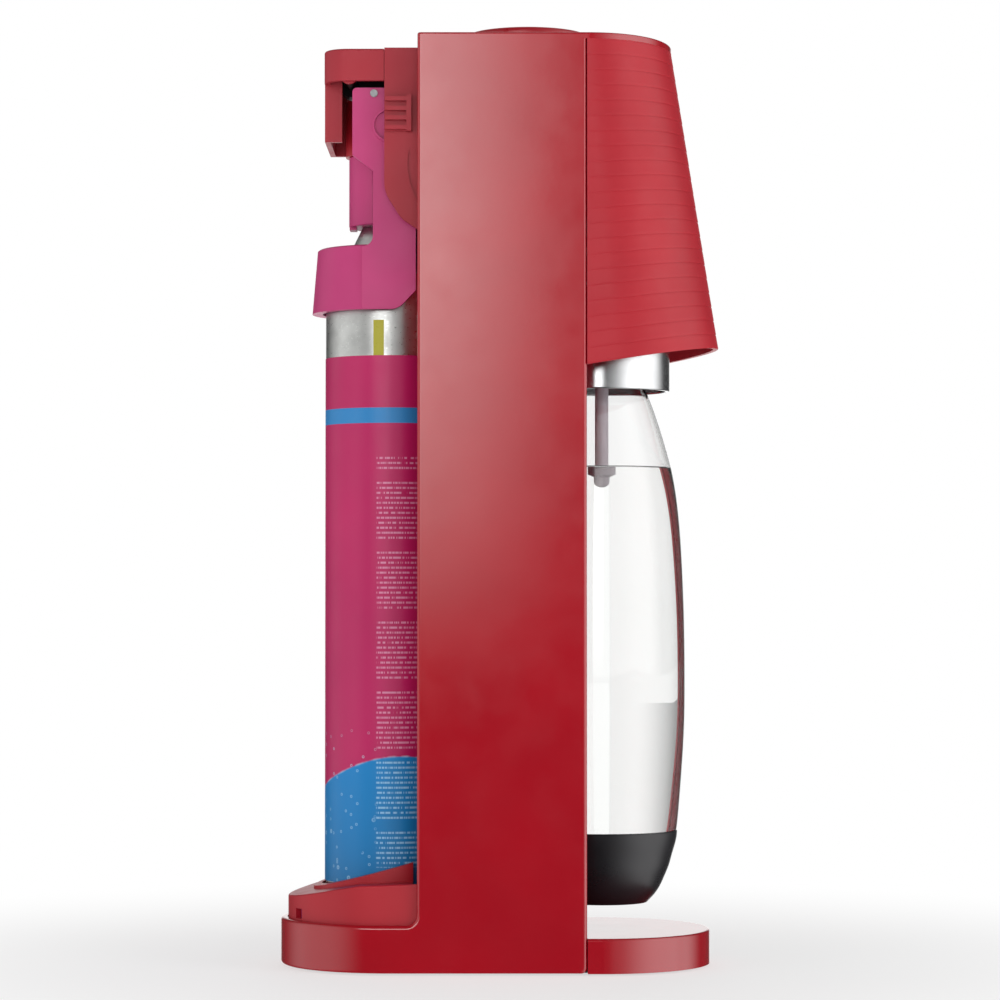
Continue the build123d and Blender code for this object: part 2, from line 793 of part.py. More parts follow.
# Bottle holder: chrome collar, housing, clamp guide, jaws, seal and nozzle
with BuildPart() as collar_ring:
    add(tube(collar_radius, collar_radius - collar_wall, collar_bottom, collar_top, bottle_y))
    fillet(collar_ring.edges().group_by(Axis.Z)[0], 0.6)
save(collar_ring, "collar_ring")

housing_radius = collar_radius - collar_wall
sleeve_bottom = 284.0
seal_bottom = 300.3
seal_top = 303.3
block_bottom = 308.0
ear_top = 336.0
block_depth = 40.0
pin_hole_end = ear_half_width - 8
with BuildPart() as holder_sleeve:
    add(tube(housing_radius, flange_radius + 2, sleeve_bottom, seal_top, bottle_y))
save(holder_sleeve, "holder_sleeve")

with BuildPart() as holder_housing:
    with Locations((0, bottle_y, block_bottom)):
        Box(2 * ear_half_width, block_depth, ear_top - block_bottom, align=on_base)
    fillet(holder_housing.edges().filter_by(Axis.Z), 5)
    add(tube(housing_radius, 0, seal_top, block_bottom, bottle_y))
    with Locations((0, bottle_y, seal_top)):
        Cylinder(nozzle_radius + screw_gap, 314 - seal_top, align=on_base, mode=Mode.SUBTRACT)
    for side in (-1, 1):
        with Locations(Location((side * pin_hole_end, tilt_y, tilt_z), (0, side * 90, 0))):
            Cylinder(pin_radius + 0.02, 20, align=on_base, mode=Mode.SUBTRACT)
save(holder_housing, "holder_housing")

with BuildPart() as holder_pins:
    for side in (-1, 1):
        with Locations(Location((side * pin_hole_end, tilt_y, tilt_z), (0, side * 90, 0))):
            Cylinder(pin_radius, bracket_outer - pin_hole_end - 0.1, align=on_base)
save(holder_pins, "holder_pins")

with BuildPart() as bottle_seal:
    add(tube(flange_radius + 1.8, nozzle_radius + 0.4, seal_bottom, seal_top, bottle_y))
save(bottle_seal, "bottle_seal")

with BuildPart() as clamp_guide:
    add(tube(housing_radius, 21.2, 272, 275.7, bottle_y))
save(clamp_guide, "clamp_guide")

for side, side_name in ((-1, "left"), (1, "right")):
    with BuildPart() as clamp_jaw:
        with Locations((side * (jaw_inner + jaw_outer) / 2, bottle_y, 276)):
            Box(
                jaw_outer - jaw_inner, 2 * jaw_half_length, 4, align=on_base
            )
        fillet(clamp_jaw.edges().filter_by(Axis.Z), 1.0)
    save(clamp_jaw, f"clamp_{side_name}")

with BuildPart() as nozzle_tube:
    add(tube(nozzle_radius, 1.2, nozzle_end, 314, bottle_y))
save(nozzle_tube, "nozzle_tube")

ball_radius = 2.4
with BuildPart() as nozzle_tip:
    add(turned(((0, 218.4), (ball_radius, 218.4), (ball_radius, 220.4), (4.3, 221.6), (4.3, 223.6),
                (nozzle_radius, nozzle_end), (0, nozzle_end)), bottle_y))
    with Locations((0, bottle_y, 218.4)):
        Sphere(ball_radius)
save(nozzle_tip, "nozzle_tip")

# Bottle and the cup on its foot
bottle_side = [
    (34.2, cup_top + 0.5), (36.2, 84), (37.7, 108), (38.1, 132), (37.6, 164), (35.9, 198), (33.1, 221),
    (28.6, 239), (23.2, 255.5), (19.2, 265), (neck_radius, 276),
]


def bottle_solid(inset):
    """The bottle's turned shape, drawn in by inset all round."""
    side_points = [(radius - inset, z) for radius, z in bottle_side]
    with BuildPart() as body:
        with BuildSketch(Plane.XZ.offset(-bottle_y)):
            with BuildLine():
                Polyline(
                    side_points[0], (32.4 - inset, cup_top), (30.2 - inset, 50), (27.4 - inset, 40),
                    (19.0 - inset, bottle_seat_z + inset), (0, bottle_seat_z + inset + 3),
                    (0, bottle_top), (neck_radius - inset, bottle_top), side_points[-1],
                )
                Spline(*side_points)
            make_face()
        revolve(axis=Axis((0, bottle_y, 0), (0, 0, 1)))
    return body.part


with BuildPart() as bottle:
    add(bottle_solid(0))
    add(tube(flange_radius, neck_radius - 0.5, flange_z, flange_z + 2.7, bottle_y))
    add(bottle_solid(bottle_wall), mode=Mode.SUBTRACT)
save(bottle, "bottle")

cup_side = [(33.7, 56), (32.1, 50.5), (30.7, 45.5), (28.9, 41), (26.6, 36), (22.9, 30.8)]
cup_wall = 1.6
with BuildPart() as bottle_cup:
    with BuildSketch(Plane.XZ.offset(-bottle_y)):
        with BuildLine():
            outer_side = Spline((34.4, cup_top - 0.8), *cup_side)
            Polyline(outer_side @ 1, (20.6, cup_bottom), (0, cup_bottom + 0.8), (0, cup_bottom + 2.4))
            Polyline(
                (0, cup_bottom + 2.4), (19.6, cup_bottom + 3.4), (27.6, 39.4), (30.7, 50), (32.8, cup_top),
                (34.0, cup_top), (34.4, cup_top - 0.8),
            )
        make_face()
    revolve(axis=Axis((0, bottle_y, 0), (0, 0, 1)))
save(bottle_cup, "bottle_cup")

# Gas cylinder with its sleeve and valve
neck_top = 345.5
with BuildPart() as cylinder_body:
    with BuildSketch(Plane.XZ.offset(-cylinder_y)):
        with BuildLine():
            inner_radius = cylinder_radius - cylinder_wall
            Polyline((0, cylinder_bottom + 3), (14, cylinder_bottom), (27.2, cylinder_bottom))
            ThreePointArc((27.2, cylinder_bottom), (29.04, 36.76), (cylinder_radius, 38.6))
            wall = Line((cylinder_radius, 38.6), (cylinder_radius, 302))
            ThreePointArc(wall @ 1, (26.6, 317), (17.8, 328))
            Polyline(
                (17.8, 328), (13.6, 336.5), (13.0, 337.5), (13.0, neck_top), (8, neck_top), (8, 335),
                (14, 327),
            )
            ThreePointArc((14, 327), (23.7, 315), (inner_radius, 302))
            Polyline((inner_radius, 302), (inner_radius, 43), (22, 39.5), (0, cylinder_bottom + 6))
            Line((0, cylinder_bottom + 6), (0, cylinder_bottom + 3))
        make_face()
    revolve(axis=Axis((0, cylinder_y, 0), (0, 0, 1)))
save(cylinder_body, "cylinder_body")

with BuildPart() as cylinder_label:
    add(tube(cylinder_radius + label_thick, cylinder_radius, label_bottom, label_top, cylinder_y))
save(cylinder_label, "cylinder_label")

slot_low = 352.0
slot_high = 356.0
slot_x = 16.0
with BuildPart() as cylinder_valve:
    with BuildSketch(Plane.XY.offset(valve_bottom)):
        with Locations((0, cylinder_y)):
            Circle(valve_radius)
            Rectangle(2 * 17.4, 2 * valve_radius, mode=Mode.INTERSECT)
    extrude(amount=valve_top - valve_bottom)
    fillet(cylinder_valve.edges().group_by(Axis.Z)[-1], 0.8)
    fillet(cylinder_valve.edges().group_by(Axis.Z)[0], 0.8)
    with Locations((0, cylinder_y + 17.2, valve_bottom - 1.2)):
        Box(9, 3.2, 4, align=on_base)
    add(tube(spigot_radius, 0, valve_top - 1, 379.5, cylinder_y))
    add(tube(13.2, 0, valve_bottom - 2, neck_top + 0.3, cylinder_y), mode=Mode.SUBTRACT)
    for side in (-1, 1):
        with Locations((side * (slot_x + 5), cylinder_y - 14, (slot_low + slot_high) / 2)):
            Box(10, 42, slot_high - slot_low, mode=Mode.SUBTRACT)
save(cylinder_valve, "cylinder_valve")

# Fork that carries the cylinder by its valve
with BuildPart() as lift_yoke:
    with BuildSketch(Plane.XY.offset(slot_low + 0.5)):
        with Locations((0, 25.5)):
            Rectangle(59, 31, align=from_front)
        with Locations((0, 30)):
            Rectangle(2 * (slot_x + 0.4), 40, align=from_front, mode=Mode.SUBTRACT)
    extrude(amount=slot_high - slot_low - 1.0)
save(lift_yoke, "lift_yoke")

# Locking lever: a band round the rear of the cylinder on two arms
arm_rear = 57.3
boss_radius = 7.6
boss_height = 1.2
boss_line = 0.9
plate_rear = 62.3
with BuildPart() as locking_lever:
    with BuildSketch(Plane.XZ.offset(-cylinder_y)):
        with BuildLine():
            Polyline(
                (ring_inner, ring_bottom), (ring_low_radius, ring_bottom), (ring_high_radius, ring_top - 0.6),
                (ring_high_radius - 0.8, ring_top), (ring_inner, ring_top), close=True,
            )
        make_face()
    revolve(axis=Axis((0, cylinder_y, 0), (0, 0, 1)), revolution_arc=180)
    with Locations((0, cylinder_y, (ring_bottom + ring_top) / 2)):
        Box(2 * arm_outer, 4 * ring_low_radius, ring_top - ring_bottom + 2, mode=Mode.INTERSECT)
    for side in (-1, 1):
        plane, thick = side_slab(side, arm_inner, arm_outer)
        with BuildSketch(plane) as arm:
            with BuildLine():
                Polyline(
                    (38, 306), (46, ring_bottom), (plate_rear, ring_bottom), (plate_rear, ring_top - 1),
                    (arm_rear, ring_top - 1), (arm_rear, 360), (64.3, 365.4), (66.6, 367.2), (66.6, 397.6),
                    (38, 397.6), close=True,
                )
            make_face()
            fillet(arm.vertices().sort_by_distance((arm_rear, ring_top))[0], 4.6)
            fillet(arm.vertices().sort_by_distance((46, ring_bottom))[0], 8)
            fillet(arm.vertices().sort_by_distance((38, 397.6))[0], 6)
            fillet(arm.vertices().sort_by_distance((66.6, 397.6))[0], 2)
        extrude(amount=thick)
        with Locations(Location((side * arm_outer, pivot_y, pivot_z), (0, side * 90, 0))):
            Cylinder(boss_radius, boss_height, align=on_base)
            Cylinder(boss_radius - boss_line, boss_height + 1, align=on_base, mode=Mode.SUBTRACT)
        with Locations(Location((0, pivot_y, pivot_z), (0, side * 90, 0))):
            Cylinder(
                pivot_radius + running_gap, pin_end + 0.3, align=on_base,
                mode=Mode.SUBTRACT,
            )
save(locking_lever, "locking_lever")

with BuildPart() as lever_screws:
    for side in (-1, 1):
        with Locations(Location((side * arm_outer, 56.9, 395.0), (0, side * 90, 0))):
            Cylinder(1.7, 0.7, align=on_base)
save(lever_screws, "lever_screws")
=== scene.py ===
import math

import bpy
from mathutils import Euler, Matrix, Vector


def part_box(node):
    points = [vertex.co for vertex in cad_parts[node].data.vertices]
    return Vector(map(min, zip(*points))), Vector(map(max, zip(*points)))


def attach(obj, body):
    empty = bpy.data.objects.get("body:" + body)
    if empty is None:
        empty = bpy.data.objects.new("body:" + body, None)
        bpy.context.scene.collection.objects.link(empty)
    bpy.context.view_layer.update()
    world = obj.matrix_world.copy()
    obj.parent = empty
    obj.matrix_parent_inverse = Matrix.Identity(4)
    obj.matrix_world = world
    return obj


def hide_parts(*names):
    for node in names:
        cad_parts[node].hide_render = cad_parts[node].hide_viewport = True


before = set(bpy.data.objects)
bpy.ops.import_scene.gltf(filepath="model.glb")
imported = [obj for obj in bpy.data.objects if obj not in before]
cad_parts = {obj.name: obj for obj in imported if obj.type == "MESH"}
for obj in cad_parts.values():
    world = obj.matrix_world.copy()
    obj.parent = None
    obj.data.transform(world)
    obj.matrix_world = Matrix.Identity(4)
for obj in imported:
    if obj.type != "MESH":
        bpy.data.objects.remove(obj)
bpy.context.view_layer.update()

# A soda carbonator on a pale floor. The front faces -Y and the viewer stands at -X. Everything is in metres.

MM = 0.001
WATER_LEVEL = 226.3 * MM

# Colours as they are seen, 0 to 255
RED_GLOSS = (164, 14, 30)
RED_SATIN = (168, 24, 38)
RED_MATT = (158, 38, 50)
# The fascia's own red, made lighter as painted light to stand in for light that hardly reaches it behind the
# bottle
FASCIA_RED_WITH_PAINTED_LIGHT = (206, 30, 52)
PINK = (188, 54, 114)
MAGENTA = (178, 20, 88)
SLEEVE_BLUE = (0, 116, 178)
BAND_BLUE = (40, 128, 190)
STRIPE_GREEN = (168, 162, 36)
PALE_PRINT = (222, 160, 192)
BUBBLE = (170, 214, 240)
ALUMINIUM = (228, 229, 226)
CHROME = (222, 223, 224)
STEEL = (150, 151, 153)
BRASS = (178, 140, 74)
CUP_BLACK = (26, 25, 28)
NYLON_BLACK = (30, 30, 32)
RUBBER_BLACK = (24, 24, 25)
# Partly the nozzle's own pale colour and partly painted light: lightened to stand in for light that hardly
# reaches it inside the bottle
NOZZLE_GREY_WITH_PAINTED_LIGHT = (232, 216, 226)


def linear(colour):
    """An 8-bit display colour as scene-linear values."""
    values = [c / 255 for c in colour]
    return tuple(v / 12.92 if v <= 0.04045 else ((v + 0.055) / 1.055) ** 2.4 for v in values) + (1.0,)


def shade(colour, factor):
    """The same colour, lighter or darker."""
    return tuple(min(255, c * factor) for c in colour)


# --- Materials ---------------------------------------------------------------------------------------------


class Shader:
    """A node material that is written step by step."""

    def __init__(self, name):
        self.material = bpy.data.materials.new(name)
        self.material.use_nodes = True
        self.tree = self.material.node_tree
        self.tree.nodes.clear()
        self.output = self.tree.nodes.new("ShaderNodeOutputMaterial")
        self.bsdf = self.tree.nodes.new("ShaderNodeBsdfPrincipled")
        self.tree.links.new(self.bsdf.outputs[0], self.output.inputs[0])
        self.place = self.tree.nodes.new("ShaderNodeTexCoord").outputs["Object"]

    def node(self, kind, inputs=None, **settings):
        """A new node with its settings, and its inputs by name or number: links or plain values."""
        made = self.tree.nodes.new("ShaderNode" + kind)
        for key, value in settings.items():
            setattr(made, key, value)
        for key, value in (inputs or {}).items():
            if isinstance(value, bpy.types.NodeSocket):
                self.tree.links.new(value, made.inputs[key])
            else:
                made.inputs[key].default_value = value
        return made

    def math(self, operation, a, b=0.0):
        return self.node("Math", {0: a, 1: b}, operation=operation).outputs[0]

    def noise(self, scale, stretch=(1, 1, 1), detail=2.0, place=None):
        spread = self.node("Mapping", {"Vector": place or self.place, "Scale": stretch}).outputs[0]
        return self.node("TexNoise", {"Vector": spread, "Scale": scale, "Detail": detail}).outputs["Fac"]

    def ramp(self, value, low, high, to_low=0.0, to_high=1.0, smooth=False):
        kind = "SMOOTHSTEP" if smooth else "LINEAR"
        inputs = {"Value": value, "From Min": low, "From Max": high, "To Min": to_low, "To Max": to_high}
        return self.node("MapRange", inputs, interpolation_type=kind).outputs[0]

    def mix(self, factor, a, b):
        """Colour a where the factor is 0, and b where it is 1."""
        mixer = self.node("Mix", data_type="RGBA")
        for index, value in ((0, factor), (6, a), (7, b)):
            if isinstance(value, bpy.types.NodeSocket):
                self.tree.links.new(value, mixer.inputs[index])
            else:
                mixer.inputs[index].default_value = value
        return mixer.outputs[2]

    def xyz(self, place=None):
        return self.node("SeparateXYZ", {0: place or self.place}).outputs

    def set(self, **values):
        for key, value in values.items():
            socket = self.bsdf.inputs[key.replace("_", " ")]
            if isinstance(value, bpy.types.NodeSocket):
                self.tree.links.new(value, socket)
            else:
                socket.default_value = value

    def bump(self, height, strength, distance):
        made = self.node("Bump", {"Height": height, "Strength": strength, "Distance": distance})
        self.tree.links.new(made.outputs[0], self.bsdf.inputs["Normal"])


def moulded(name, colour, roughness, grain, depth, mottle=0.05, spread=0.06, **constants):
    """Moulded plastic: faint colour drift, uneven gloss and a fine surface grain of the given depth in mm."""
    m = Shader(name)
    drift = m.ramp(m.noise(22, detail=3.0), 0.3, 0.7)
    fine = m.noise(grain, detail=3.0)
    colour_low = linear(shade(colour, 1 - mottle))
    colour_high = linear(shade(colour, 1 + mottle))
    m.set(Base_Color=m.mix(drift, colour_low, colour_high))
    patches = m.noise(60, detail=4.0)
    m.set(Roughness=m.ramp(patches, 0.25, 0.75, roughness - spread, roughness + spread), **constants)
    m.bump(fine, 0.6, depth * MM)
    return m.material


def metal(name, colour, roughness, stretch):
    """Metal with fine drawn lines along one direction and slight stains."""
    m = Shader(name)
    lines = m.noise(900, stretch=stretch, detail=4.0)
    stain = m.ramp(m.noise(45, detail=4.0), 0.35, 0.7)
    m.set(Base_Color=m.mix(stain, linear(shade(colour, 0.93)), linear(shade(colour, 1.03))))
    m.set(Metallic=1.0, Roughness=m.ramp(lines, 0.3, 0.7, roughness * 0.8, roughness * 1.25))
    m.bump(lines, 0.5, 0.01 * MM)
    return m.material


cylinder_low, cylinder_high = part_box("cylinder_label")
CYLINDER_Y = (cylinder_low.y + cylinder_high.y) / 2
CYLINDER_R = (cylinder_high.y - cylinder_low.y) / 2
SLEEVE_TOP = cylinder_high.z


def around_cylinder(m):
    """Distance round the cylinder from the side at -X, positive towards the rear, and the height."""
    x, y, z = m.xyz()
    back = m.math("SUBTRACT", y, CYLINDER_Y)
    angle = m.math("ARCTAN2", back, m.math("MULTIPLY", x, -1.0))
    return m.math("MULTIPLY", angle, CYLINDER_R), z


# The sleeve's print: heights from the floor, and distances round it from the side at -X
BAND_LOW = SLEEVE_TOP - 30.5 * MM
BAND_HIGH = SLEEVE_TOP - 23.7 * MM
PRINT_EDGE = 0.2 * MM
WAVE_MIDDLE = 85.9 * MM
WAVE_HEIGHT = 10.2 * MM
WAVE_RADIANS_PER_METRE = 42.0
WAVE_START = 1.85
RIPPLE = 1.2 * MM
BUBBLES_END, BUBBLES_FULL = 112 * MM, 100 * MM
BUBBLES_FROM, BUBBLES_ALL = 4 * MM, 8 * MM
BUBBLE_SIZES = ((330.0, 0.2, 0.8), (150.0, 0.12, 0.86))
ROW_PITCH = 2.25 * MM
ROWS_PER_PARAGRAPH = 14.0
ROWS_LOW, ROWS_HIGH = 46 * MM, 232 * MM
COLUMN_FRONT, COLUMN_REAR = -24 * MM, 5.6 * MM
INK_STRENGTH = 0.62


def sleeve_print():
    """Printed sleeve: magenta above, blue water with bubbles below, a blue band and rows of plain dashes."""
    m = Shader("sleeve_print")
    run, z = around_cylinder(m)
    flat = m.node("CombineXYZ", {0: run, 1: z, 2: 0.0}).outputs[0]

    tone = m.ramp(m.noise(14, detail=3.0, place=flat), 0.3, 0.7)
    colour = m.mix(tone, linear(shade(MAGENTA, 0.96)), linear(shade(MAGENTA, 1.05)))

    above = m.ramp(z, BAND_LOW - PRINT_EDGE, BAND_LOW)
    band = m.math("MULTIPLY", above, m.ramp(z, BAND_HIGH + PRINT_EDGE, BAND_HIGH))
    colour = m.mix(band, colour, linear(BAND_BLUE))

    swing = m.math("SINE", m.math("ADD", m.math("MULTIPLY", run, WAVE_RADIANS_PER_METRE), WAVE_START))
    wave = m.math("MULTIPLY", swing, WAVE_HEIGHT)
    ripple = m.ramp(m.noise(26, detail=1.0, place=flat), 0.0, 1.0, -RIPPLE, RIPPLE)
    surface = m.math("ADD", m.math("ADD", wave, ripple), WAVE_MIDDLE)
    water = m.ramp(m.math("SUBTRACT", z, surface), 3e-4, -3e-4)
    deep = m.mix(m.ramp(z, 45 * MM, 92 * MM), linear(SLEEVE_BLUE), linear(shade(SLEEVE_BLUE, 1.08)))
    colour = m.mix(water, colour, deep)

    foam = m.ramp(m.math("ABSOLUTE", m.math("SUBTRACT", z, surface)), 0.7 * MM, 0.1 * MM)
    froth = m.math("MULTIPLY", foam, m.ramp(m.noise(300, place=flat), 0.4, 0.7, 0.0, 0.5))
    colour = m.mix(froth, colour, linear(BUBBLE))

    for scale, radius, share in BUBBLE_SIZES:
        cells = m.node("TexVoronoi", {"Vector": flat, "Scale": scale}, voronoi_dimensions="2D").outputs
        ring = m.math("ABSOLUTE", m.math("SUBTRACT", cells["Distance"], radius * 0.8))
        rim = m.ramp(ring, 0.07, 0.03)
        chosen = m.math("GREATER_THAN", m.xyz(cells["Color"])[0], share)
        low_part = m.ramp(z, BUBBLES_END, BUBBLES_FULL)
        low_part = m.math("MULTIPLY", low_part, m.ramp(run, BUBBLES_FROM, BUBBLES_ALL))
        dots = m.math("MULTIPLY", m.math("MULTIPLY", rim, chosen), low_part)
        colour = m.mix(m.math("MULTIPLY", dots, 0.5), colour, linear(BUBBLE))

    line = m.math("FRACT", m.math("DIVIDE", z, ROW_PITCH))
    row = m.math("FLOOR", m.math("DIVIDE", z, ROW_PITCH))
    dash = m.math("MULTIPLY", m.ramp(line, 0.24, 0.3), m.ramp(line, 0.7, 0.64))
    spots = {0: m.math("MULTIPLY", run, 1500.0), 1: m.math("MULTIPLY", row, 7.3), 2: 0.0}
    breaks = m.noise(1.0, detail=1.0, place=m.node("CombineXYZ", spots).outputs[0])
    dashes = m.math("MULTIPLY", dash, m.ramp(breaks, 0.42, 0.5))
    left = m.ramp(run, COLUMN_FRONT, COLUMN_FRONT + 0.5 * MM)
    column = m.math("MULTIPLY", left, m.ramp(run, COLUMN_REAR, COLUMN_REAR - 0.4 * MM))
    gaps = m.math("GREATER_THAN", m.math("FRACT", m.math("DIVIDE", row, ROWS_PER_PARAGRAPH)), 0.1)
    bottom = m.ramp(z, ROWS_LOW, ROWS_LOW + 0.5 * MM)
    rows = m.math("MULTIPLY", bottom, m.ramp(z, ROWS_HIGH, ROWS_HIGH - 0.5 * MM))
    block = m.math("MULTIPLY", dashes, m.math("MULTIPLY", column, gaps))
    block = m.math("MULTIPLY", m.math("MULTIPLY", block, rows), INK_STRENGTH)
    ink = m.mix(water, linear(PALE_PRINT), linear(BUBBLE))
    colour = m.mix(block, colour, ink)

    m.set(Base_Color=colour, Roughness=m.ramp(m.noise(80, detail=3.0), 0.3, 0.7, 0.3, 0.42), Coat_Weight=0.06)
    m.set(Coat_Roughness=0.12)
    wrinkle = m.noise(240, stretch=(1, 1, 0.25), detail=3.0)
    m.bump(wrinkle, 0.35, 0.04 * MM)
    return m.material


STRIPE_FRONT, STRIPE_REAR = 2.1 * MM, 7.1 * MM
STRIPE_LENGTH = 16 * MM
STRIPE_EDGE = 0.1 * MM


def bare_cylinder():
    """Brushed aluminium with the end of a green stripe on the side at -X."""
    m = Shader("bare_cylinder")
    run, z = around_cylinder(m)
    lines = m.noise(500, stretch=(1, 1, 3.0), detail=5.0)
    stain = m.ramp(m.noise(75, detail=5.0), 0.35, 0.7)
    bare = m.mix(stain, linear(shade(ALUMINIUM, 0.86)), linear(ALUMINIUM))
    across = m.ramp(run, STRIPE_FRONT, STRIPE_FRONT + STRIPE_EDGE)
    across = m.math("MULTIPLY", across, m.ramp(run, STRIPE_REAR, STRIPE_REAR - STRIPE_EDGE))
    stripe_top = SLEEVE_TOP + STRIPE_LENGTH
    stripe = m.math("MULTIPLY", across, m.ramp(z, stripe_top + STRIPE_EDGE, stripe_top))
    m.set(Base_Color=m.mix(stripe, bare, linear(STRIPE_GREEN)), Metallic=m.math("SUBTRACT", 1.0, stripe))
    m.set(Roughness=m.ramp(lines, 0.3, 0.7, 0.26, 0.42))
    m.bump(lines, 0.4, 0.02 * MM)
    return m.material


# How far above the water line the bottle's painted edge shade takes to come back to full strength
PAINTED_EDGE_SHADE_FADE = 3 * MM


def clear(name, ior, tint, edge=None):
    """Clear liquid or plastic with a slightly uneven surface; given an edge colour, it is darkened where seen
    edge on, as painted shade.
    """
    m = Shader(name)
    swell = m.noise(18, detail=1.0)
    colour = m.mix(m.ramp(swell, 0.3, 0.7), tint, (1.0, 1.0, 1.0, 1.0))
    if edge:
        # Painted shade: the clear colour turns to the edge colour where the surface is seen edge on, standing
        # in for the dark room seen in the wall
        facing = m.node("LayerWeight", {"Blend": 0.5}).outputs["Facing"]
        colour = m.mix(m.ramp(facing, 0.62, 0.97, smooth=True), colour, edge)
        # Below the water line this painted edge shade is kept at a quarter of its strength
        colour = m.mix(m.ramp(m.xyz()[2], WATER_LEVEL, WATER_LEVEL + PAINTED_EDGE_SHADE_FADE, 0.25, 1.0), tint, colour)
    m.set(Base_Color=colour)
    m.set(Roughness=0.0, Transmission_Weight=1.0, IOR=ior)
    m.bump(swell, 0.12, 0.05 * MM)
    return m.material


GLOSS_RED = moulded(
    "gloss_red", RED_GLOSS, 0.09, grain=420, depth=0.004, mottle=0.02, spread=0.03, Specular_IOR_Level=1.0
)
SATIN_RED = moulded("satin_red", RED_SATIN, 0.42, grain=2600, depth=0.02, mottle=0.03)
BUTTON_RED = moulded("button_red", RED_SATIN, 0.3, grain=2600, depth=0.012, mottle=0.03)
MECHANISM_RED = moulded("mechanism_red", RED_MATT, 0.5, grain=2200, depth=0.03)
# Painted light: the fascia is given a lighter red than the other red parts
FASCIA_RED_LIGHTENED = moulded("fascia_red_painted_light", FASCIA_RED_WITH_PAINTED_LIGHT, 0.3, grain=2200, depth=0.01)
PINK_PLASTIC = moulded("pink_plastic", PINK, 0.42, grain=2200, depth=0.02)
CUP_PLASTIC = moulded("cup_plastic", CUP_BLACK, 0.3, grain=2000, depth=0.02)
NYLON = moulded("black_nylon", NYLON_BLACK, 0.5, grain=1500, depth=0.04, mottle=0.1)
RUBBER = moulded("rubber", RUBBER_BLACK, 0.7, grain=1200, depth=0.05, mottle=0.12)
# The nozzle's pale grey includes painted light, as above
NOZZLE_PLASTIC_LIGHTENED = moulded("nozzle_plastic_painted_light", NOZZLE_GREY_WITH_PAINTED_LIGHT, 0.32, grain=2500, depth=0.01, mottle=0.04)
COLLAR_CHROME = metal("collar_chrome", CHROME, 0.2, (1, 1, 30))
STEEL_METAL = metal("zinc_steel", STEEL, 0.36, (1, 1, 1))
BRASS_METAL = metal("turned_brass", BRASS, 0.3, (1, 1, 12))
SLEEVE = sleeve_print()
BARE_CYLINDER = bare_cylinder()
# The bottle's dark grey edge colour is painted shade, not the colour of the plastic
PET = clear("clear_pet", 1.5, (0.994, 0.996, 0.99, 1.0), edge=(0.5, 0.51, 0.49, 1.0))
WATER = clear("water", 1.5, (0.975, 0.98, 0.976, 1.0))
# Painted shade: the meniscus ring is tinted dark grey to draw the dark line that light bending at the water's
# edge makes
MENISCUS_PAINTED_SHADE = clear("meniscus", 1.333, (0.22, 0.23, 0.24, 1.0))

NODE_MATERIALS = {
    GLOSS_RED: ["left_shell", "right_shell", "front_base", "top_plate"],
    SATIN_RED: ["cylinder_seat", "rear_channel", "gas_port_housing"],
    BUTTON_RED: ["button"],
    FASCIA_RED_LIGHTENED: ["front_fascia"],
    MECHANISM_RED: [
        "mechanism_cheek_left", "mechanism_cheek_right", "cover_catch_left", "cover_catch_right",
        "rear_housing",
    ],
    PINK_PLASTIC: ["locking_lever", "cylinder_valve", "cylinder_rest"],
    SLEEVE: ["cylinder_label"],
    BARE_CYLINDER: ["cylinder_body"],
    COLLAR_CHROME: ["collar_ring"],
    CUP_PLASTIC: ["bottle_cup"],
    NOZZLE_PLASTIC_LIGHTENED: ["nozzle_tube", "nozzle_tip"],
    NYLON: [
        "holder_housing", "holder_sleeve", "clamp_guide", "clamp_left", "clamp_right", "button_guide",
        "button_stem", "press_lever", "lift_yoke", "column_frame", "base_plate", "upper_chassis",
    ],
    STEEL_METAL: [
        "hinge_bracket_left", "hinge_bracket_right", "frame_screws", "base_screws", "button_spring",
        "lever_pivot_pins", "holder_pins", "press_lever_axle", "actuator_pin", "lever_screws", "hose_fitting",
    ],
    BRASS_METAL: ["valve_block", "relief_valve", "gas_swivel"],
    RUBBER: ["rubber_feet", "bottle_seal", "port_seal", "gas_hose"],
}
for material, names in NODE_MATERIALS.items():
    for name in names:
        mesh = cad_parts[name].data
        mesh.materials.clear()
        mesh.materials.append(material)


# --- Mesh helpers ------------------------------------------------------------------------------------------


def mesh_piece(name, vertices, faces, material, sharp_degrees=30):
    """A smooth-shaded object from vertices and faces, creased at its sharp edges."""
    mesh = bpy.data.meshes.new(name)
    mesh.from_pydata(vertices, [], faces)
    mesh.materials.append(material)
    mesh.shade_smooth()
    mesh.set_sharp_from_angle(angle=math.radians(sharp_degrees))
    mesh.update()
    piece = bpy.data.objects.new(name, mesh)
    bpy.context.scene.collection.objects.link(piece)
    return piece


LATHE_SEGMENTS = 200


def lathe(name, profile, centre_y, material):
    """A turned shape from (radius, z) points, which start and end on the axis or run round a closed ring."""
    vertices, faces, rings = [], [], []
    for radius, z in profile:
        if radius < 1e-7:
            rings.append([len(vertices)])
            vertices.append((0, centre_y, z))
            continue
        rings.append(list(range(len(vertices), len(vertices) + LATHE_SEGMENTS)))
        for k in range(LATHE_SEGMENTS):
            angle = 2 * math.pi * k / LATHE_SEGMENTS
            vertices.append((radius * math.cos(angle), centre_y + radius * math.sin(angle), z))
    for low, high in zip(rings, rings[1:]):
        for k in range(LATHE_SEGMENTS):
            n = (k + 1) % LATHE_SEGMENTS
            if len(low) == 1 and len(high) == 1:
                continue
            if len(low) == 1:
                faces.append((low[0], high[n], high[k]))
            elif len(high) == 1:
                faces.append((low[k], low[n], high[0]))
            else:
                faces.append((low[k], low[n], high[n], high[k]))
    return mesh_piece(name, vertices, faces, material)


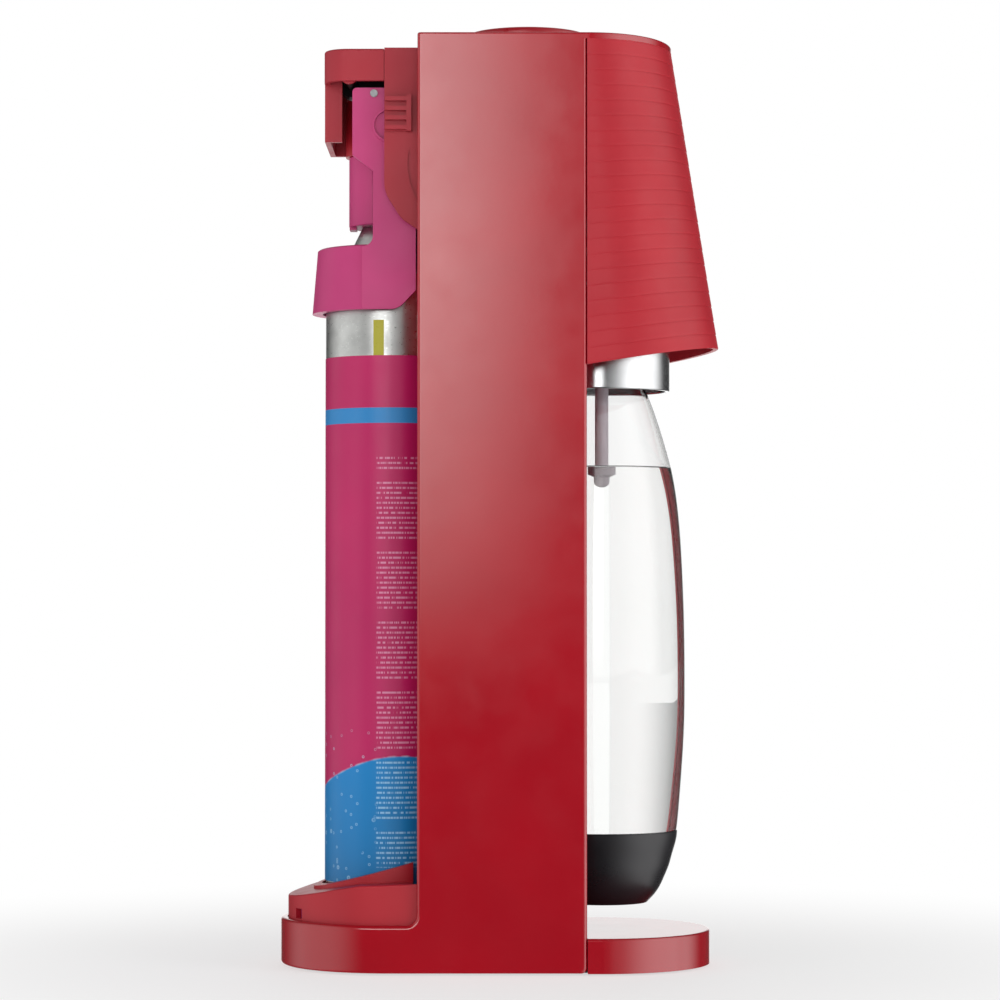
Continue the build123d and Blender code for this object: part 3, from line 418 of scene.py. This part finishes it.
def smooth_curve(points, steps):
    """Points on a smooth curve through the given ones, with even steps between each pair."""
    result = []
    for i in range(len(points) - 1):
        before = points[max(i - 1, 0)]
        a, b = points[i], points[i + 1]
        after = points[min(i + 2, len(points) - 1)]
        for k in range(steps):
            t = k / steps
            result.append(tuple(
                0.5 * (2 * q + (r - p) * t + (2 * p - 5 * q + 4 * r - s) * t**2
                       + (3 * q - p - 3 * r + s) * t**3)
                for p, q, r, s in zip(before, a, b, after)
            ))
    return result + [points[-1]]


# --- Cylinder seat ends ------------------------------------------------------------------------------------

SEAT_TOP = 40.1 * MM
SEAT_FOOT = 3.6 * MM
SEAT_WALL = 2.4 * MM
SEAT_REACH = 3.7 * MM
SEAT_LAP = 0.2 * MM
SEAT_GAP = 0.1 * MM


def seat_end(side, name):
    """The short upright end of the cylinder seat's wall, which reaches forward to the side panel."""
    low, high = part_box("cylinder_seat")
    outer = side * (high.x - SEAT_GAP)
    inner = side * (high.x - SEAT_WALL)
    front, rear = low.y - SEAT_REACH, low.y + SEAT_LAP
    corners = [(outer, front), (outer, rear), (inner, rear), (inner, front)]
    vertices = [(x, y, z) for z in (SEAT_FOOT, SEAT_TOP) for x, y in corners]
    faces = [(0, 1, 5, 4), (1, 2, 6, 5), (2, 3, 7, 6), (3, 0, 4, 7), (3, 2, 1, 0), (4, 5, 6, 7)]
    if side < 0:
        faces = [tuple(reversed(face)) for face in faces]
    return mesh_piece(name, vertices, faces, SATIN_RED)


for side, side_name in ((-1, "left"), (1, "right")):
    end = seat_end(side, f"seat_end_{side_name}")
    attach(end, "machine_body")

# --- Head cover --------------------------------------------------------------------------------------------

head_low, head_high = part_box("head_cover")
HEAD_WALL = 2.5 * MM
RIB_COUNT = 21
GROOVE_DEPTH = 0.17 * MM
GROOVE_HALF = 0.075
RIB_LEAN = 0.1 * MM
RIB_FADE = 0.3
RIB_FADE_RUN = 0.22
RIM_INSET = 0.3 * MM
RIM_ROUND = 0.0045
PLAN_POINTS = 120


class HeadShape:
    """The leaning outline of the head: straight sides that end in half an ellipse to the front."""

    half = head_high.x
    rear = head_high.y
    top = head_high.z
    top_flat = -40 * MM
    top_front = -79 * MM
    rim_flat = -50.5 * MM
    rim_front = head_low.y
    rim_front_z = 281.5 * MM
    rim_rear_z = head_low.z

    def section(self, z):
        """Where the straight sides end and where the front lies, at one height."""
        drop = (self.top - z) / (self.top - self.rim_front_z)
        return (
            self.top_flat + drop * (self.rim_flat - self.top_flat),
            self.top_front + drop * (self.rim_front - self.top_front),
        )

    def point(self, t, level, inset):
        """A point at t round the outline and at a level from the top, 0, to the rim, 1."""
        z = self.top - level * (self.top - self.rim_front_z)
        for _ in range(3):
            flat, front = self.section(z)
            depth = flat - front
            straight = self.rear - flat
            arc = math.pi * math.sqrt((self.half**2 + depth**2) / 2)
            along = t * (2 * straight + arc)
            if along < straight:
                x, y, normal = -self.half, self.rear - along, Vector((-1, 0))
            elif along > straight + arc:
                x, y, normal = self.half, self.rear - (2 * straight + arc - along), Vector((1, 0))
            else:
                angle = math.pi * (along - straight) / arc
                x, y = -self.half * math.cos(angle), flat - depth * math.sin(angle)
                normal = Vector((x / self.half**2, (y - flat) / depth**2)).normalized()
            share = (y - front) / (self.rear - front)
            rim_z = self.rim_front_z + share * (self.rim_rear_z - self.rim_front_z)
            z = self.top - level * (self.top - rim_z)
        return x - normal.x * inset, min(y - normal.y * inset, self.rear), z


def rib_inset(level):
    """How far the surface lies inside the outline: ribs that lean out, with fine grooves between them."""
    u = (level * RIB_COUNT) % 1.0
    if level <= 0 or level >= 1:
        return RIB_LEAN if level <= 0 else RIM_INSET
    groove = max(0.0, 1 - min(u, 1 - u) / GROOVE_HALF)
    return RIB_LEAN * (1 - u) + GROOVE_DEPTH * groove**0.8


def head_cover():
    """The ribbed shell, open underneath and behind, with its rim rounded over to a plain inner wall."""
    shape = HeadShape()
    steps = (0.0, 0.03, 0.055, 0.09, 0.2, 0.35, 0.5, 0.65, 0.8, 0.91, 0.945, 0.97)
    levels = [(rib + step) / RIB_COUNT for rib in range(RIB_COUNT) for step in steps] + [1.0]
    rows = [(level, rib_inset(level)) for level in levels]
    rim = [(1.0 + RIM_ROUND * math.sin(a), RIM_INSET + HEAD_WALL / 2 * (1 - math.cos(a)) * 0.9)
           for a in (math.radians(d) for d in range(20, 180, 20))]
    inner = [(1.0 - 0.1 * k, HEAD_WALL) for k in range(11)]
    rows += [(min(level, 1.0), inset) for level, inset in rim] + inner
    vertices, faces = [], []
    for level, inset in rows:
        for k in range(PLAN_POINTS + 1):
            from_column = min(k, PLAN_POINTS - k) / PLAN_POINTS
            full = RIB_FADE + (1 - RIB_FADE) * from_column / RIB_FADE_RUN
            share = min(1.0, full) if inset < RIM_INSET else 1.0
            vertices.append(shape.point(k / PLAN_POINTS, level, inset * share))
    width = PLAN_POINTS + 1
    for r in range(len(rows)):
        below = (r + 1) % len(rows)
        for k in range(PLAN_POINTS):
            faces.append((r * width + k, below * width + k, below * width + k + 1, r * width + k + 1))
    left_edge = [r * width for r in range(len(rows))]
    right_edge = [r * width + PLAN_POINTS for r in reversed(range(len(rows)))]
    faces += [left_edge, right_edge]
    return mesh_piece("head_cover_ribbed", vertices, faces, SATIN_RED, 28)


head = head_cover()
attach(head, "machine_body")
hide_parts("head_cover")

# --- Bottle and water --------------------------------------------------------------------------------------

bottle_low, bottle_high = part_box("bottle")
BOTTLE_Y = (bottle_low.y + bottle_high.y) / 2
BOTTLE_WALL = 1.0 * MM
WATER_OVERLAP = 0.25 * MM
# The bottle's outer outline as (radius, height) in mm, from its foot's centre up to its neck
BOTTLE_SIDE = [
    (30.2, 50.0), (32.3, 58.0), (34.2, 62.0), (36.2, 84.0), (37.7, 108.0), (38.05, 132.0), (37.6, 164.0),
    (35.9, 198.0), (33.1, 221.0), (28.6, 239.0), (23.2, 255.5), (19.2, 265.0), (16.4, 274.0), (16.0, 281.0),
]
FOOT_TOP = 40
FOOT = [(0.0, 36.0), (12.0, 33.5), (18.5, 32.2), (21.5, 34.0), (27.2, 41.0), (29.4, 46.5)]


def bottle_outline(inset):
    """The bottle's side from its foot to its neck, drawn in by inset."""
    points = smooth_curve([(max(r - inset / MM, 0.0) if r else 0.0, z) for r, z in FOOT + BOTTLE_SIDE], 8)
    return [(r * MM, z * MM + (inset if z < FOOT_TOP else 0.0)) for r, z in points]


def bottle_wall():
    """The clear bottle: outside up to the mouth, over its lip and back down inside."""
    outside = bottle_outline(0.0)
    flange = [(16.0, 282.3), (19.6, 282.3), (20.0, 282.7), (20.0, 284.6), (19.6, 285.0), (15.6, 285.0)]
    mouth = [(15.6, 299.2), (15.2, 300.0), (14.2, 300.0)]
    neck = [(r * MM, z * MM) for r, z in flange + mouth]
    inside = list(reversed(bottle_outline(BOTTLE_WALL)))
    return lathe("bottle_wall", outside + neck + inside, BOTTLE_Y, PET)


def water_fill():
    """The water: it fills the bottle to just inside its wall, with a low meniscus at its edge."""
    side = [(r, z) for r, z in bottle_outline(BOTTLE_WALL - WATER_OVERLAP) if z < WATER_LEVEL - 1.5 * MM]
    edge_radius = side[-1][0] - 0.2 * MM
    calm_level = WATER_LEVEL - 0.1 * MM
    surface = [
        (edge_radius - 0.3 * MM, WATER_LEVEL - 0.4 * MM), (edge_radius - 0.6 * MM, WATER_LEVEL + 0.5 * MM),
        (edge_radius - 2.0 * MM, WATER_LEVEL), (edge_radius - 6.0 * MM, calm_level),
        (edge_radius / 2, calm_level), (0.0, calm_level),
    ]
    return lathe("bottle_water", side + surface, BOTTLE_Y, WATER)


def meniscus():
    """The dark line where the water climbs the wall: a thin ring of its own, tinted dark as painted shade."""
    side = [r for r, z in bottle_outline(BOTTLE_WALL) if z < WATER_LEVEL]
    outer = side[-1] - 0.35 * MM
    ring = [(outer - 0.9 * MM, WATER_LEVEL + 0.1 * MM), (outer, WATER_LEVEL + 0.1 * MM),
            (outer - 0.15 * MM, WATER_LEVEL + 0.75 * MM), (outer - 0.5 * MM, WATER_LEVEL + 0.5 * MM)]
    return lathe("meniscus_painted_shade_ring", ring + ring[:1], BOTTLE_Y, MENISCUS_PAINTED_SHADE)


wall = bottle_wall()
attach(wall, "bottle")
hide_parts("bottle")
water = water_fill()
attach(water, "bottle")
meniscus_shade_line = meniscus()
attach(meniscus_shade_line, "bottle")

# --- Floor, light and camera -------------------------------------------------------------------------------


FLOOR_HALF = 6.0
SHADE_FROM, SHADE_TO = 0.1, 0.45


def floor():
    """A wide pale floor, which glows like the backdrop away from the machine."""
    corners = [(x, y, 0) for x, y in ((-1, -1), (1, -1), (1, 1), (-1, 1))]
    mesh = bpy.data.meshes.new("floor")
    mesh.from_pydata([Vector(corner) * FLOOR_HALF for corner in corners], [], [(0, 1, 2, 3)])
    m = Shader("floor")
    m.set(Base_Color=m.mix(m.noise(3.0), (0.93, 0.93, 0.93, 1), (0.96, 0.96, 0.96, 1)), Roughness=0.9)
    x, y, _ = m.xyz()
    away = m.math("SQRT", m.math("ADD", m.math("MULTIPLY", x, x), m.math("MULTIPLY", y, y)))
    glow = m.node("Emission", {"Color": (1, 1, 1, 1), "Strength": 1.0}).outputs[0]
    fade = m.ramp(away, SHADE_FROM, SHADE_TO, 0.6, 1.0, smooth=True)
    blend = m.node("MixShader", {0: fade, 1: m.bsdf.outputs[0], 2: glow})
    m.tree.links.new(blend.outputs[0], m.output.inputs[0])
    mesh.materials.append(m.material)
    ground = bpy.data.objects.new("floor", mesh)
    bpy.context.scene.collection.objects.link(ground)
    ground.visible_glossy = False


def area_light(name, place, target, size, power):
    """A rectangular softbox that faces its target, unseen in reflections and through the bottle."""
    data = bpy.data.lights.new(name, "AREA")
    data.shape = "RECTANGLE"
    data.size, data.size_y = size
    data.energy = power
    lamp = bpy.data.objects.new(name, data)
    lamp.location = place
    lamp.rotation_euler = (Vector(target) - Vector(place)).to_track_quat("-Z", "Z").to_euler()
    lamp.visible_glossy = False
    lamp.visible_transmission = False
    bpy.context.scene.collection.objects.link(lamp)


# Brightness of each part of the studio, where the backdrop that the viewer sees is 1
ROOM_DIFFUSE = 0.34
ROOM_DARK = 0.03
CARD_GLOW = 1.25
FRONT_WALL_GLOW = 1.5
REAR_WALL_GLOW = 0.75
LOW_FRONT_GLOW = 0.36
PANEL_GLOW = 3.5
GLASS_NEAR, GLASS_FAR, GLASS_ASIDE = 1.5, 1.0, 0.35


def studio():
    """A white backdrop for the eye, and for reflections a dark room with glowing walls and one soft panel.

    Each part is a range of directions: x points away from the viewer, y to the machine's rear and z up.
    """
    world = bpy.data.worlds.new("studio")
    bpy.context.scene.world = world
    world.use_nodes = True
    tree = world.node_tree
    tree.nodes.clear()

    def add(kind, inputs=None, **settings):
        made = tree.nodes.new("ShaderNode" + kind)
        for key, value in settings.items():
            setattr(made, key, value)
        for key, value in (inputs or {}).items():
            if isinstance(value, bpy.types.NodeSocket):
                tree.links.new(value, made.inputs[key])
            else:
                made.inputs[key].default_value = value
        return made

    def ramp(value, low, high, to_low, to_high):
        inputs = {"Value": value, "From Min": low, "From Max": high, "To Min": to_low, "To Max": to_high}
        return add("MapRange", inputs, interpolation_type="SMOOTHSTEP").outputs[0]

    def maths(operation, a, b):
        return add("Math", {0: a, 1: b}, operation=operation).outputs[0]

    x, y, z = add("SeparateXYZ", {0: add("TexCoord").outputs["Generated"]}).outputs
    aside = maths("ABSOLUTE", y, 0.0)

    # In reflections: a card behind the machine, walls before and behind it, and a panel beside the viewer
    card = maths("MULTIPLY", ramp(x, 0.3, 0.7, 0.0, 1.0), ramp(aside, 0.1, 0.36, CARD_GLOW, ROOM_DARK))
    front_wall = maths("MULTIPLY", ramp(y, -0.25, -0.9, 0.0, FRONT_WALL_GLOW), ramp(x, 0.65, 0.1, 0.0, 1.0))
    rear_wall = maths("MULTIPLY", ramp(y, 0.4, 0.95, 0.0, REAR_WALL_GLOW), ramp(x, 0.9, 0.2, 0.0, 1.0))
    low_front = maths("MULTIPLY", ramp(y, -0.03, -0.3, 0.0, LOW_FRONT_GLOW), ramp(x, 0.1, -0.2, 0.0, 1.0))
    across = maths("MULTIPLY", ramp(y, -0.034, 0.034, 0.0, 1.0), ramp(y, 0.6, 0.4, 0.0, 1.0))
    upward = maths("ADD", ramp(z, -0.035, 0.03, 0.0, 0.45), ramp(z, 0.0, 0.11, 0.0, 0.55))
    upward = maths("MULTIPLY", upward, ramp(z, 0.5, 0.3, 0.0, 1.0))
    panel = maths("MULTIPLY", maths("MULTIPLY", across, upward), ramp(x, -0.3, -0.7, 0.0, PANEL_GLOW))
    seen = card
    for part in (front_wall, rear_wall, low_front, panel, ROOM_DARK):
        seen = maths("ADD", seen, part)

    # Through the bottle: white behind it, greyer to the sides
    behind = maths("MULTIPLY", ramp(aside, 0.2, 0.85, GLASS_FAR, GLASS_ASIDE), ramp(x, 0.1, 0.5, 0.0, 1.0))
    through = maths("ADD", behind, ramp(x, 0.1, -0.4, 0.0, GLASS_NEAR))

    path = add("LightPath").outputs
    light = add("Mix", {0: path["Is Diffuse Ray"], 2: seen, 3: ROOM_DIFFUSE}).outputs[0]
    past_glass = maths("GREATER_THAN", path["Transmission Depth"], 0.5)
    light = add("Mix", {0: past_glass, 2: light, 3: through}).outputs[0]
    strength = add("Mix", {0: path["Is Camera Ray"], 2: light, 3: 1.0}).outputs[0]
    world.cycles.sampling_method = "NONE"
    background = add("Background", {"Color": (1, 1, 1, 1), "Strength": strength})
    output = add("OutputWorld")
    tree.links.new(background.outputs[0], output.inputs[0])


CAMERA_LENS = 119.0
CAMERA_SENSOR = 36.0
CAMERA_PLACE = (-1.52, 0.0, 0.1702)
CAMERA_RISE = 1.59


def camera():
    """The viewer stands at -X, at less than half the machine's height, looking slightly up."""
    data = bpy.data.cameras.new("camera")
    data.lens = CAMERA_LENS
    data.sensor_width = CAMERA_SENSOR
    viewer = bpy.data.objects.new("camera", data)
    viewer.location = CAMERA_PLACE
    viewer.rotation_euler = Euler((math.radians(90 + CAMERA_RISE), 0, math.radians(-90)))
    bpy.context.scene.collection.objects.link(viewer)
    bpy.context.scene.camera = viewer


# Each lamp's name, place, target, size and power in watts
SOFTBOXES = [
    ("front_softbox", (-0.9, -1.7, 0.35), (0, -0.05, 0.2), (0.9, 1.5), 19),
    ("rear_softbox", (-0.95, 1.7, 0.35), (0, 0.05, 0.2), (0.9, 1.5), 11),
    ("fill", (-2.4, 0.0, 0.35), (0, 0, 0.15), (1.6, 1.6), 15),
    ("far_fill", (2.4, 0.0, 0.9), (0, 0, 0.2), (1.6, 1.6), 14),
]

floor()
studio()
for softbox in SOFTBOXES:
    area_light(*softbox)
camera()
bpy.context.scene.view_settings.view_transform = "Standard"
